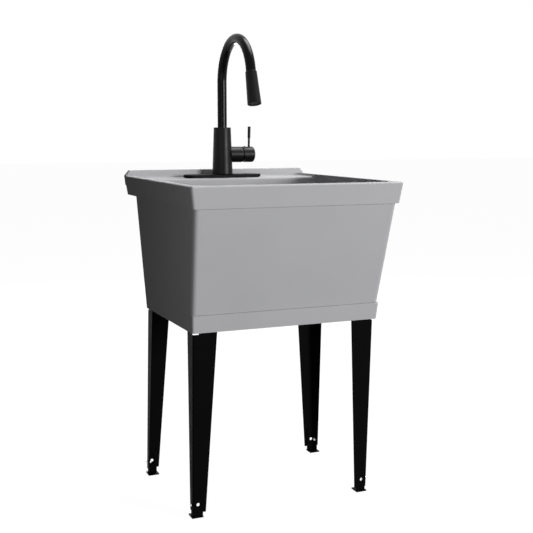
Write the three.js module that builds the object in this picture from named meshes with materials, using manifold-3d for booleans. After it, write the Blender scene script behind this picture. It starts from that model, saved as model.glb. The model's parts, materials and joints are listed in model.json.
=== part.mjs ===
// Utility laundry sink: a moulded tub on four folded steel legs with levelling feet, a drain
// assembly, and a single-lever pull-down tap on the tub's rear deck.
// Millimetres, +Z up. Origin on the floor, midway across the rim. The front faces -Y.
import * as THREE from 'three';
import * as BufferGeometryUtils from 'three/addons/utils/BufferGeometryUtils.js';
import Module from 'manifold-3d';

const wasm = await Module();
wasm.setup();

const deg = THREE.MathUtils.degToRad;
const lerp = THREE.MathUtils.lerp;

// ---- driving dimensions -------------------------------------------------------------------

const fit = 0.3; // gap between pieces that touch
const running = 0.45; // gap between pieces that move on each other

// tub: rim
const rimWidth = 572;
const rimDepth = 635;
const rimHeight = 862; // floor to the top of the rim
const rimLand = 17.5; // flat top of the rim, front and sides
const rimCorner = 8;
const rimEdge = 5; // rounding of the rim's upper edge
const skirtDrop = 55;
const skirtDraft = 7; // the skirt leans in by this much at its lower edge
const skirtWall = 3.2;

// tub: rear deck and backsplash
const deckDrop = 8.5; // the deck lies this far below the rim
const deckThick = 5;
const deckFillet = 8; // where the deck meets the rim
const deckCorner = 16; // corners of the deck's recess, at the rear
const backsplashRise = 15.5;
const backsplashThick = 20.5;
const backsplashShoulder = 13; // sloped end of the backsplash
const backsplashEdge = 2; // rounding of its edges
const deckRibThick = 4;
const deckRibReach = 190; // outer ribs under the deck, from the middle
const deckRibInner = 62;
const recessRise = 55; // lower end of the recess behind the basin's rear wall, above the tub's foot
const rearSkin = 1.5; // the recess leaves this much on the basin's wall
const rimSkin = 0.6; // and so does the hollow inside the rim

// tub: walls
const bodyTopSideInset = 12; // the body's walls at the skirt's foot, in from the rim's outline
const bodyTopFrontInset = 14;
const bodyTopRearInset = 79.5;
const baseHeight = 493; // floor to the lower edge of the tub
const baseSideInset = 27; // and at the tub's foot: the sides, at the front
const baseSideInsetRear = 18.5; // and at the rear
const baseFrontInset = 94;
const baseRearInset = 149.5;
const bodyCorner = 13;
const wall = 4.5;
const basinCorner = 40;
const basinRearCorner = 60;
const deckDepth = 92.5; // from the rim's rear edge to the basin
const basinFillet = 26;
const lipFillet = 6; // rounding of the deck's front edge
const floorRise = 39; // the basin's floor, above the tub's foot
const floorThick = 7;
const floorFall = 4; // the floor falls by this much to the drain
const floorFallRadius = 185;
const drainDish = 8; // level floor round the drain's flange

// tub: apron band across the front
const bandHeight = 45;
const bandProud = 9.5; // at the band's lower edge
const bandProudTop = 5.5;
const bandCorner = 6;
const bandReach = 40; // the band merges into the side walls within this length
const bandEdge = 2;
const grooveHeight = 2.5; // shadow line above the band
const grooveDepth = 2;

// tub: underside
const ribThick = 3.5;
const ribDrop = 14;
const ribSpacing = 96;
const ribStagger = 2; // the ribs along the tub are this much deeper than those across
const ribClearance = 6; // free ring round the drain's locknut
const drainBossDrop = 7;
const drainBossRadius = 46;
const socketLength = 92; // leg sockets, along X
const socketDepth = 70; // leg sockets, along Y

// drain
const drainY = -30;
const flangeRadius = 37;
const flangeThick = 2;
const drainBore = 24;
const drainWall = 1.8;
const drainBodyLength = 40;
const flangeEdge = 0.6;
const flangeDish = 3; // width of the flange's slope into the bore
const flangeThroat = 4; // depth of the bore's rounded mouth
const strainerDepth = 16; // cross bars, below the flange
const strainerBar = 3;
const gasketThick = 3;
const gasketRadius = 38;
const locknutHeight = 9;
const locknutRadius = 36;
const locknutLugs = 6;
const locknutLug = [9, 10]; // length outwards, and width
const lugSink = 4; // the lugs stand on a core smaller by this much
const tailRadius = 19;
const tailLength = 28;
const tailLipThick = 2;
const slipNutHeight = 17;
const slipNutRadius = 30;
const slipNutGrip = 11; // length of the nut below the drain's body
const slipFlutes = 12;
const slipFluteRadius = 2.2;
const stopperHeight = 11;
const stopperBrim = 4.4;
const stopperTaper = 2;
const stopperKnob = 6;
const stopperNeck = 3.5;
const stopperRise = 15.5; // top of the knob, above the seat

// legs: folded sheet, one shape, mirrored
const legSheet = 1.6;
const legFold = 4; // outside radius of the fold
const legBottom = 14;
const legInsert = 28; // length inside the socket
const legWideTop = 66; // flange across the front or rear
const legWideBottom = 36;
const legNarrowTop = 47; // flange along the side
const legNarrowBottom = 20;
const legNotchDrop = 6; // corner notch, below the tub
const legNotchWide = 16;
const legNotchNarrow = 10;
const legNotchTongue = 6.4; // the corner itself is cut away for this much
const legToeCut = 7; // sloped foot of the side flange
const frontLegInset = [5.5, 2]; // outside corner at the tub's foot, in from the side and the end
const frontLegSplay = [-1, -22]; // from there to the floor, outwards
const rearLegInset = [3, 11];
const rearLegSplay = [8, 15];

// levelling feet
const footPlate = 3;
const footSize = 31;
const footOverhang = 1.5;
const footHeight = 70;
const footSheet = 2.5;
const footWide = 27;
const footNarrow = 17;
const footUp = 8; // travel up from the drawn height
const footDown = 18; // and down
const boltRadius = 2.5;
const boltHeight = 35;
const boltNarrow = 10; // bolt centre from the leg's corner
const holeRadius = 4.5; // open hole in the wide flange
const holeHeight = 36;
const holeWide = 15;
const hexFlats = 8;
const boltHead = 3.2;
const nutThick = 3.6;
const boltTail = 1.4;

// tap: deck plate and body
const tapSetback = 60.5; // from the rim's rear edge to the tap's axis
const plateHalf = 121;
const plateDepth = 50;
const plateThick = 8;
const plateBevel = 3;
const plateGasket = 2;
const gasketInset = 4; // the pad keeps back from the plate's edge
const bodyFootRadius = 30.5;
const bodyTopRadius = 25.5;
const bodyHeight = 138;
const bodyEdge = 1.2; // chamfers of the body's two ends
const bodyBore = 12; // waterway between the shank and the spout
const shankRadius = 16.5;
const shankBore = 13.5;
const shankLength = 62; // below the body
const shankInsert = 12; // inside the body
const shankWeb = 8; // the web that holds the two inlets
const shankWebRise = 6;
const clampThick = 3;
const clampRadius = 27;
const clampNutRadius = 24;
const clampNutHeight = 10;
const deckHoleRadius = 18;
const deckSideHoleRadius = 14;
const deckHolePitch = 101.6;
const inletRadius = 5;
const inletBore = 3.4;
const inletDrop = 24;
const inletSpread = 7.2;
const inletInsert = 17; // inside the shank
const inletCollar = 3; // height of the collar that stops each inlet
const inletCollarProud = 1;
const hoseWayRadius = 3;
const hoseWaySet = 1.5; // from the shank's bore

// tap: spout
const tubeRadius = 14;
const tubeWall = 1.4;
const tubeInsert = 34; // length inside the body
const archCentre = 1132; // height of the arch's centre
const archRadius = 117.5;
const archTilt = 15.8; // the spray leans forward by this angle
const archTail = 13; // straight end after the arch
const spoutSteps = 40;

// tap: spray
const sprayLength = 92;
const sprayTopRadius = 15.9;
const sprayEndRadius = 19.3;
const sprayWall = 2.2;
const sprayEdge = 0.8;
const sprayCap = 4; // solid top of the shell
const sprayCapSlope = 2;
const dockLength = 12;
const dockWall = 1.6;
const dockSet = 0.5; // the dock stands in from the tube's end
const neckLength = 22;
const neckDepth = 14; // inside the shell
const neckStep = 3; // the neck is thinner by this much inside the shell
const neckWall = 2;
const nozzleRecess = 2.5;
const sprayReach = 17; // depth of the nozzle's face piece
const nozzleRings = 2;
const nozzleWall = 2.4;
const nozzleThick = 3;
const nozzleMargin = 4; // from the outer jets to the face's edge
const jetRadius = 0.9;

// tap: side valve
const valveHeight = 58; // above the body's foot
const valveRadius = 23.3;
const valveEnd = 61.5; // from the tap's axis
const valveEdge = 1.6; // chamfers on both sides of the joint between valve and hub
const cartridgeRadius = 18;
const cartridgeEnd = 54;
const cartridgeStart = 33;
const cartridgeWall = 2.2;
const cartridgeBase = 9;
const carrierProud = 1; // the carrier stands out of the cartridge
const carrierBevel = 5;
const ballDepth = 6; // socket of the stem's ball
const pivot = 60; // centre of the handle's tilt
const bonnetEnd = 68;
const bonnetRadius = 17.5;
const bonnetWall = 8;
const bonnetDome = 4;
const stemRadius = 3.5;
const stemBall = 5;
const stemEnd = 85;
const tiltMax = 15; // the hub's lower half is cut back for this tilt
const tiltSpare = 0.5;

// tap: handle
const hubStart = 62;
const hubEnd = 98.7;
const hubFillet = 6;
const handleEdge = 0.6; // chamfers of the lever and the plug
const hubCavity = 20.3;
const hubCavityDepth = 13.5;
const leverX = 84;
const leverRadius = 3.3;
const leverGrip = 4.4;
const leverSeat = 15; // lower end, above the hub's axis
const leverStep = 48;
const leverTop = 83;
const leverTaper = 1.6;
const leverLean = 1.5;
const plugX = 70.6;
const plugRadius = 2.6;
const plugRise = 1.3;

// ---- derived levels -----------------------------------------------------------------------

const bodyTopHalf = rimWidth / 2 - bodyTopSideInset;
const bodyTopFront = rimDepth / 2 - bodyTopFrontInset;
const bodyTopRear = rimDepth / 2 - bodyTopRearInset;
const baseHalfFront = rimWidth / 2 - baseSideInset;
const baseHalfRear = rimWidth / 2 - baseSideInsetRear;
const baseFront = rimDepth / 2 - baseFrontInset;
const baseRear = rimDepth / 2 - baseRearInset;
const basinRearTop = rimDepth / 2 - deckDepth;
const tapY = rimDepth / 2 - tapSetback;
const deckHeight = rimHeight - deckDrop;
const skirtFoot = rimHeight - skirtDrop;
const floorHeight = baseHeight + floorRise;
const recessFoot = baseHeight + recessRise;
const floorUnder = floorHeight - floorThick;
const drainSeat = floorHeight - floorFall - flangeThick - fit;
const bossFoot = floorUnder - drainBossDrop;
const tapFoot = deckHeight + plateGasket + plateThick + 2 * fit;
const tapTop = tapFoot + bodyHeight;
const valveZ = tapFoot + valveHeight;
const round = 24; // facets of a round piece
const fineRound = 40; // of a large one
const smallRound = 16; // of a small one
const cornerSteps = 7; // of a rounded corner
const past = 5; // cutting tools run past a surface by this much

// ---- materials ----------------------------------------------------------------------------

const finish = (color, roughness, metalness) => new THREE.MeshStandardMaterial({ color, roughness, metalness });
const greyPlastic = () => finish(0xa6a6a9, 0.42, 0);
const blackCoat = () => finish(0x141315, 0.38, 0.2);
const blackSteel = () => finish(0x191819, 0.5, 0.3);
const zinc = () => finish(0xd8d9da, 0.3, 0.9);
const steel = () => finish(0xc4c6c8, 0.28, 1);
const blackRubber = () => finish(0x1b1b1c, 0.8, 0);
const whitePlastic = () => finish(0xe4e3de, 0.5, 0);
const brass = () => finish(0xb89b58, 0.35, 1);

// ---- solids -------------------------------------------------------------------------------

function solid(geometry) {
  const bare = geometry.clone();
  bare.deleteAttribute('normal');
  bare.deleteAttribute('uv');
  const merged = BufferGeometryUtils.mergeVertices(bare, 1e-4);
  const vertProperties = new Float32Array(merged.attributes.position.array);
  const triVerts = new Uint32Array(merged.index.array);
  return new wasm.Manifold(new wasm.Mesh({ numProp: 3, vertProperties, triVerts }));
}

function geometryOf(body) {
  const out = body.getMesh();
  const geometry = new THREE.BufferGeometry();
  geometry.setAttribute('position', new THREE.BufferAttribute(new Float32Array(out.vertProperties), 3));
  geometry.setIndex(new THREE.BufferAttribute(new Uint32Array(out.triVerts), 1));
  geometry.computeVertexNormals();
  return geometry;
}

function join(...bodies) {
  return bodies.reduce((whole, body) => whole.add(body));
}

function cut(body, ...tools) {
  return tools.reduce((rest, tool) => rest.subtract(tool), body);
}

const model = new THREE.Group();

function place(name, body, material, parent = model) {
  const geometry = body.isBufferGeometry ? body : geometryOf(body);
  const mesh = new THREE.Mesh(geometry, material);
  mesh.name = name;
  parent.add(mesh);
  return mesh;
}

// A skin over a stack of level outlines, closed at both ends.
function loft(rings) {
  const count = rings[0].length;
  const positions = rings.flat().flatMap((p) => [p.x, p.y, p.z]);
  const index = [];
  for (let layer = 0; layer < rings.length - 1; layer += 1) {
    for (let i = 0; i < count; i += 1) {
      const a = layer * count + i;
      const b = layer * count + ((i + 1) % count);
      index.push(a, b, b + count, a, b + count, a + count);
    }
  }
  const caps = THREE.ShapeUtils.triangulateShape(rings[0].map((p) => new THREE.Vector2(p.x, p.y)), []);
  const top = (rings.length - 1) * count;
  for (const [a, b, c] of caps) {
    index.push(a, c, b, top + a, top + b, top + c);
  }
  const geometry = new THREE.BufferGeometry();
  geometry.setAttribute('position', new THREE.Float32BufferAttribute(positions, 3));
  geometry.setIndex(index);
  return solid(geometry);
}

// A four-sided outline with rounded corners; it may be wider at the rear than at the front.
function outline({ z, front, rear, halfFront, halfRear = halfFront, cornerFront, cornerRear = cornerFront }) {
  const corners = [
    [halfFront - cornerFront, front + cornerFront, cornerFront, -90],
    [halfRear - cornerRear, rear - cornerRear, cornerRear, 0],
    [-halfRear + cornerRear, rear - cornerRear, cornerRear, 90],
    [-halfFront + cornerFront, front + cornerFront, cornerFront, 180],
  ];
  return corners.flatMap(([x, y, radius, start]) => {
    return Array.from({ length: cornerSteps + 1 }, (_, i) => {
      const turn = deg(start + (90 * i) / cornerSteps);
      return new THREE.Vector3(x + radius * Math.cos(turn), y + radius * Math.sin(turn), z);
    });
  });
}

function inset(section, by) {
  const shrink = (corner) => Math.max(corner - by, 1);
  const cornerRear = section.cornerRear ?? section.cornerFront;
  const halfRear = section.halfRear ?? section.halfFront;
  return {
    ...section,
    front: section.front + by,
    rear: section.rear - by,
    halfFront: section.halfFront - by,
    halfRear: halfRear - by,
    cornerFront: shrink(section.cornerFront),
    cornerRear: shrink(cornerRear),
  };
}

function block(x0, x1, y0, y1, z0, z1) {
  const box = new THREE.BoxGeometry(x1 - x0, y1 - y0, z1 - z0);
  return solid(box.translate((x0 + x1) / 2, (y0 + y1) / 2, (z0 + z1) / 2));
}

function rod(radius, z0, z1, x = 0, y = 0, sides = round) {
  const cylinder = new THREE.CylinderGeometry(radius, radius, z1 - z0, sides);
  return solid(cylinder.rotateX(Math.PI / 2).translate(x, y, (z0 + z1) / 2));
}

// A turned piece: the profile gives radius and height, from the axis back to the axis or closed.
function turned(profile, sides = round) {
  const points = profile.map(([r, z]) => new THREE.Vector2(r, z));
  return solid(new THREE.LatheGeometry(points, sides).rotateX(Math.PI / 2));
}

function ring(inner, outer, z0, z1, sides = round) {
  return turned([[inner, z0], [outer, z0], [outer, z1], [inner, z1], [inner, z0]], sides);
}

// Quarter-round steps: how far a rounded edge has drawn in at each height.
function quarter(radius, steps = 4) {
  return Array.from({ length: steps + 1 }, (_, i) => {
    const angle = deg((90 * i) / steps);
    return { draw: radius * (1 - Math.cos(angle)), rise: radius * Math.sin(angle) };
  });
}

// ---- legs ---------------------------------------------------------------------------------

const frontLegs = { end: -1, top: [baseHalfFront - frontLegInset[0], baseFront - frontLegInset[1]], splay: frontLegSplay };
const rearLegs = { end: 1, top: [baseHalfRear - rearLegInset[0], baseRear - rearLegInset[1]], splay: rearLegSplay };
const legs = [
  { name: 'front_left', side: -1, ...frontLegs },
  { name: 'front_right', side: 1, ...frontLegs },
  { name: 'rear_left', side: -1, ...rearLegs },
  { name: 'rear_right', side: 1, ...rearLegs },
];

// Where a leg's outside corner stands at a height.
function legCorner(leg, z) {
  const drop = 1 - z / baseHeight;
  const across = leg.top[0] + leg.splay[0] * drop;
  const along = leg.top[1] + leg.splay[1] * drop;
  return new THREE.Vector3(leg.side * across, leg.end * along, z);
}

// An angle section that follows a leg's corner: its outer faces lie `depth` inside the leg's own.
function angle(leg, levels, { depth, sheet, fold, grow = 0 }) {
  const rings = levels.map(({ z, wide, narrow }) => {
    const steps = 4;
    const arc = (radius, start, end) => Array.from({ length: steps + 1 }, (_, i) => {
      const turn = deg(lerp(start, end, i / steps));
      return [fold + radius * Math.cos(turn), fold + radius * Math.sin(turn)];
    });
    const outer = arc(fold + grow, 270, 180);
    const inner = arc(Math.max(fold - sheet - grow, 0.2), 180, 270);
    const local = [
      [wide, -grow],
      ...outer,
      [-grow, narrow],
      [sheet + grow, narrow],
      ...inner,
      [wide, sheet + grow],
    ];
    const corner = legCorner(leg, z);
    return local.map(([u, v]) => {
      return new THREE.Vector3(corner.x - leg.side * (u + depth), corner.y - leg.end * (v + depth), z);
    });
  });
  return loft(leg.side * leg.end > 0 ? rings.map((r) => [...r].reverse()) : rings);
}

function legLevels(z0, z1, extra = 0) {
  const span = baseHeight + legInsert - legBottom;
  return [z0, z1].map((z) => {
    const share = (z - legBottom) / span;
    return {
      z,
      wide: lerp(legWideBottom, legWideTop, share) + extra,
      narrow: lerp(legNarrowBottom, legNarrowTop, share) + extra,
    };
  });
}

const legSection = { depth: 0, sheet: legSheet, fold: legFold };

// Places a tool made at a leg's corner: u runs in along the wide flange, v in along the side.
function atLeg(leg, z, build) {
  const corner = legCorner(leg, z);
  const box = (u0, u1, v0, v1, z0, z1) => {
    const xs = [corner.x - leg.side * u0, corner.x - leg.side * u1].sort((a, b) => a - b);
    const ys = [corner.y - leg.end * v0, corner.y - leg.end * v1].sort((a, b) => a - b);
    return block(xs[0], xs[1], ys[0], ys[1], z0, z1);
  };
  return build(corner, box);
}

// A round hole through a flange, or a slot when the two heights differ.
function flangeSlot(leg, wideFlange, radius, low, high) {
  const reach = 14;
  const offset = wideFlange ? holeWide : boltNarrow;
  const spots = low === high ? [low] : [low, high];
  const pieces = spots.map((z) => {
    const c = legCorner(leg, z);
    const hole = new THREE.CylinderGeometry(radius, radius, reach, smallRound);
    if (wideFlange) {
      return solid(hole.translate(c.x - leg.side * offset, c.y, c.z));
    }
    return solid(hole.rotateZ(Math.PI / 2).translate(c.x, c.y - leg.end * offset, c.z));
  });
  if (low !== high) {
    const c0 = legCorner(leg, low);
    const c1 = legCorner(leg, high);
    const half = reach / 2;
    const level = (c) => {
      const p = wideFlange
        ? [[-radius, -half], [radius, -half], [radius, half], [-radius, half]]
        : [[-half, -radius], [half, -radius], [half, radius], [-half, radius]];
      const x = wideFlange ? c.x - leg.side * offset : c.x;
      const y = wideFlange ? c.y : c.y - leg.end * offset;
      return p.map(([u, v]) => new THREE.Vector3(x + u, y + v, c.z));
    };
    pieces.push(loft([level(c0), level(c1)]));
  }
  return join(...pieces);
}

function buildLeg(leg) {
  const top = baseHeight + legInsert;
  const sheet = angle(leg, legLevels(legBottom, top), legSection);
  const notchFoot = baseHeight - legNotchDrop;
  const notch = atLeg(leg, baseHeight, (corner, box) => join(
    box(-past, legNotchWide, -past, legNotchTongue, notchFoot, top + past),
    box(-past, legNotchTongue, -past, legNotchNarrow, notchFoot, top + past),
  ));
  const toe = atLeg(leg, legBottom, (corner) => {
    const slope = new THREE.BoxGeometry(4 * legFold, 3 * legNarrowBottom, 2 * legNarrowBottom);
    slope.translate(0, 0, -legNarrowBottom).rotateX(leg.end * -Math.atan(legToeCut / legNarrowBottom));
    return solid(slope.translate(corner.x, corner.y - leg.end * legSheet * 2, legBottom));
  });
  const holes = [
    flangeSlot(leg, true, holeRadius, holeHeight, holeHeight),
    flangeSlot(leg, false, boltRadius + fit, boltHeight, boltHeight),
  ];
  place(`leg_${leg.name}`, cut(sheet, notch, toe, ...holes), blackSteel());
}

function buildFoot(leg) {
  const inside = legSheet + fit;
  const levels = [footPlate / 2, footHeight].map((z) => ({ z, wide: footWide, narrow: footNarrow }));
  const upright = angle(leg, levels, { depth: inside, sheet: footSheet, fold: legFold - legSheet });
  const plate = atLeg(leg, 0, (corner, box) => {
    const inner = footSize - footOverhang;
    return box(-footOverhang, inner, -footOverhang, inner, 0, footPlate);
  });
  const slots = [
    flangeSlot(leg, true, holeRadius + fit, holeHeight - footUp, holeHeight + footDown),
    flangeSlot(leg, false, boltRadius + fit, boltHeight - footUp, boltHeight + footDown),
  ];
  place(`foot_${leg.name}`, cut(join(upright, plate), ...slots), blackSteel());
}

// A hexagonal or round bar along Y, from y0 to y1.
function bar(radius, y0, y1, sides) {
  const cylinder = new THREE.CylinderGeometry(radius, radius, y1 - y0, sides);
  return solid(cylinder.translate(0, (y0 + y1) / 2, 0));
}

const hexRadius = hexFlats / Math.sqrt(3);
const boltGrip = legSheet + footSheet + 2 * fit;

function hexBolt() {
  const shankEnd = boltGrip + nutThick + boltTail;
  return join(bar(hexRadius, -boltHead - fit, -fit, 6), bar(boltRadius, -boltHead, shankEnd, smallRound));
}

function hexNut() {
  const bore = bar(boltRadius + fit / 2, boltGrip - past, boltGrip + nutThick + past, smallRound);
  return cut(bar(hexRadius, boltGrip, boltGrip + nutThick, 6), bore);
}

// The bolt runs square through the side flanges. Its local +Y points into the leg.
function buildFootFasteners(leg) {
  const corner = legCorner(leg, boltHeight);
  const spot = new THREE.Group();
  spot.position.set(corner.x, corner.y - leg.end * boltNarrow, corner.z);
  spot.rotation.z = (leg.side * Math.PI) / 2;
  model.add(spot);
  place(`foot_bolt_${leg.name}`, hexBolt(), zinc(), spot);
  place(`foot_nut_${leg.name}`, hexNut(), zinc(), spot);
}

// ---- tub ----------------------------------------------------------------------------------

function bodySection(z) {
  const share = (z - baseHeight) / (skirtFoot - baseHeight);
  return {
    z,
    front: -lerp(baseFront, bodyTopFront, share),
    rear: lerp(baseRear, bodyTopRear, share),
    halfFront: lerp(baseHalfFront, bodyTopHalf, share),
    halfRear: lerp(baseHalfRear, bodyTopHalf, share),
    cornerFront: bodyCorner,
  };
}

function rimSection(z) {
  const share = Math.max(rimHeight - rimEdge - z, 0) / (skirtDrop - rimEdge);
  const half = rimWidth / 2 - skirtDraft * share;
  const reach = rimDepth / 2 - skirtDraft * share;
  return { z, front: -reach, rear: reach, halfFront: half, cornerFront: rimCorner };
}

function basinSection(z) {
  const body = bodySection(Math.min(z, skirtFoot));
  const rise = Math.max(z - skirtFoot, 0) / skirtDrop;
  const rearShare = (z - floorHeight) / (deckHeight - floorHeight);
  return {
    z,
    front: lerp(body.front + wall, -rimDepth / 2 + rimLand, rise),
    rear: lerp(bodySection(floorHeight).rear - wall, basinRearTop, Math.min(rearShare, 1)),
    halfFront: lerp(body.halfFront - wall, rimWidth / 2 - rimLand, rise),
    halfRear: lerp(body.halfRear - wall, rimWidth / 2 - rimLand, rise),
    cornerFront: basinCorner,
    cornerRear: basinRearCorner,
  };
}

function rimSolid() {
  const edge = quarter(rimEdge).map(({ draw, rise }) => {
    return inset({ ...rimSection(rimHeight - rimEdge + rise) }, draw);
  });
  return loft([rimSection(skirtFoot), ...edge].map(outline));
}

function backsplashSolid() {
  const half = rimWidth / 2;
  const face = new THREE.Shape();
  const low = skirtFoot + skirtDrop / 2;
  const lowHalf = rimSection(low).halfFront;
  face.moveTo(-lowHalf, low);
  face.lineTo(lowHalf, low);
  face.lineTo(half, rimHeight);
  face.lineTo(half - backsplashShoulder, rimHeight + backsplashRise);
  face.lineTo(-half + backsplashShoulder, rimHeight + backsplashRise);
  face.lineTo(-half, rimHeight);
  face.closePath();
  const panel = new THREE.ExtrudeGeometry(face, {
    depth: backsplashThick - 2 * backsplashEdge,
    bevelThickness: backsplashEdge,
    bevelSize: backsplashEdge,
    bevelOffset: -backsplashEdge,
    bevelSegments: 2,
  });
  return solid(panel.rotateX(Math.PI / 2).translate(0, rimDepth / 2 - backsplashEdge, 0));
}

function basinTool() {
  const bowl = quarter(basinFillet, 5).reverse().map(({ draw, rise }) => {
    return inset(basinSection(floorHeight + basinFillet - rise), draw);
  });
  const lip = quarter(lipFillet, 3).map(({ draw, rise }) => {
    const section = basinSection(deckHeight - lipFillet + rise);
    return { ...section, rear: section.rear + draw };
  });
  const open = { ...basinSection(rimHeight + backsplashRise), rear: basinRearTop + lipFillet };
  return loft([...bowl, ...lip, open].map(outline));
}

// The deck's recess lies just inside the basin's walls, so that the two never share a face.
function deckSection(z) {
  const section = inset(basinSection(z), fit);
  return { ...section, front: 0, rear: rimDepth / 2 - backsplashThick, cornerRear: deckCorner };
}

function deckTool() {
  const sections = quarter(deckFillet).map(({ draw, rise }) => {
    return inset(deckSection(deckHeight + draw), deckFillet - rise);
  });
  return loft([...sections, deckSection(rimHeight + backsplashRise)].map(outline));
}

// The basin's wall as seen from outside, where the shell is cut back to it.
function wallOutside(z, extra) {
  return outline(inset(basinSection(z), -wall - extra));
}

function deckRibs() {
  return [-deckRibReach, -deckRibInner, deckRibInner, deckRibReach].map((x) => {
    return block(x - deckRibThick / 2, x + deckRibThick / 2, 0, rimDepth / 2, recessFoot, rimHeight);
  });
}

// The rim is hollow below: a narrow channel at the front and sides, a deep pocket under the deck.
function rimHollow() {
  const ceiling = deckHeight - deckThick;
  const skirt = [skirtFoot - fit, ceiling].map((z) => inset(rimSection(z), skirtWall));
  const core = loft([skirtFoot - past, ceiling + past].map((z) => wallOutside(z, rimSkin)));
  return cut(loft(skirt.map(outline)), core, ...deckRibs());
}

// The rear wall stands in between the two side walls, which run on past it as webs.
function rearRecess() {
  const space = [recessFoot, skirtFoot + 1].map((z) => {
    const body = bodySection(z);
    return { ...inset(body, wall), front: 0, rear: body.rear + past, cornerFront: 2 };
  });
  const core = loft([recessFoot - past, skirtFoot + past].map((z) => wallOutside(z, rearSkin)));
  return cut(loft(space.map(outline)), core, ...deckRibs());
}

function bandSolid() {
  const section = (z, proud, corner) => {
    const body = bodySection(z);
    const rear = body.front + bandReach;
    const share = bandReach / (body.rear - body.front);
    const halfRear = lerp(body.halfFront, body.halfRear, share) - 1;
    return { ...body, front: body.front - proud, rear, halfRear, cornerFront: corner, cornerRear: 2 };
  };
  const top = baseHeight + bandHeight;
  return loft([
    section(baseHeight, bandProud, bandCorner),
    section(top - bandEdge, bandProudTop, bandCorner),
    section(top, bandProudTop - bandEdge, bandCorner),
  ].map(outline));
}

function bandGroove() {
  const foot = bodySection(baseHeight + bandHeight);
  const half = foot.halfFront - bodyCorner;
  return block(-half, half, foot.front - past, foot.front + grooveDepth, foot.z, foot.z + grooveHeight);
}

function floorTool() {
  const cone = turned([
    [0, floorHeight - floorFall],
    [flangeRadius + drainDish, floorHeight - floorFall],
    [floorFallRadius, floorHeight],
    [0, floorHeight],
  ], fineRound);
  const seat = rod(flangeRadius + fit, drainSeat, floorHeight);
  const bore = rod(drainBore + fit, bossFoot - past, floorHeight);
  return join(cone, seat, bore).translate([0, drainY, 0]);
}

function underside() {
  const hollow = loft([baseHeight - past, floorUnder].map((z) => outline(inset(bodySection(z), wall))));
  const reach = rimDepth / 2;
  const ribFoot = floorUnder - ribDrop;
  const ribTop = floorUnder + past;
  const ribs = [-1.5, -0.5, 0.5, 1.5].flatMap((step) => {
    const x = step * ribSpacing;
    const y = drainY + step * ribSpacing;
    return [
      block(x - ribThick / 2, x + ribThick / 2, -reach, reach, ribFoot, ribTop),
      block(-reach, reach, y - ribThick / 2, y + ribThick / 2, ribFoot + ribStagger, ribTop),
    ];
  });
  const clear = rod(locknutRadius + ribClearance, baseHeight, ribTop + past, 0, drainY);
  const boss = rod(drainBossRadius, bossFoot, ribTop, 0, drainY);
  const sockets = legs.map((leg) => atLeg(leg, baseHeight, (corner, box) => {
    return box(-socketLength, socketLength, -socketDepth, socketDepth, baseHeight, ribTop);
  }));
  return cut(hollow, ...ribs.map((rib) => rib.subtract(clear)), boss, ...sockets);
}

function socketSlots() {
  const top = baseHeight + legInsert + fit;
  return legs.map((leg) => {
    const levels = legLevels(baseHeight - past, top, fit);
    return angle(leg, levels, { ...legSection, grow: fit });
  });
}

function buildTub() {
  const body = loft([bodySection(baseHeight), bodySection(skirtFoot + past)].map(outline));
  const shell = join(cut(body, bandGroove()), bandSolid(), rimSolid(), backsplashSolid());
  const tapHoles = [-1, 0, 1].map((step) => {
    const radius = step === 0 ? deckHoleRadius : deckSideHoleRadius;
    return rod(radius, deckHeight - deckThick - past, deckHeight + past, step * deckHolePitch, tapY);
  });
  const hollowed = cut(shell, basinTool(), deckTool(), floorTool(), rimHollow(), rearRecess(), underside());
  place('tub', cut(hollowed, ...tapHoles, ...socketSlots()), greyPlastic());
}

// ---- drain --------------------------------------------------------------------------------

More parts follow.
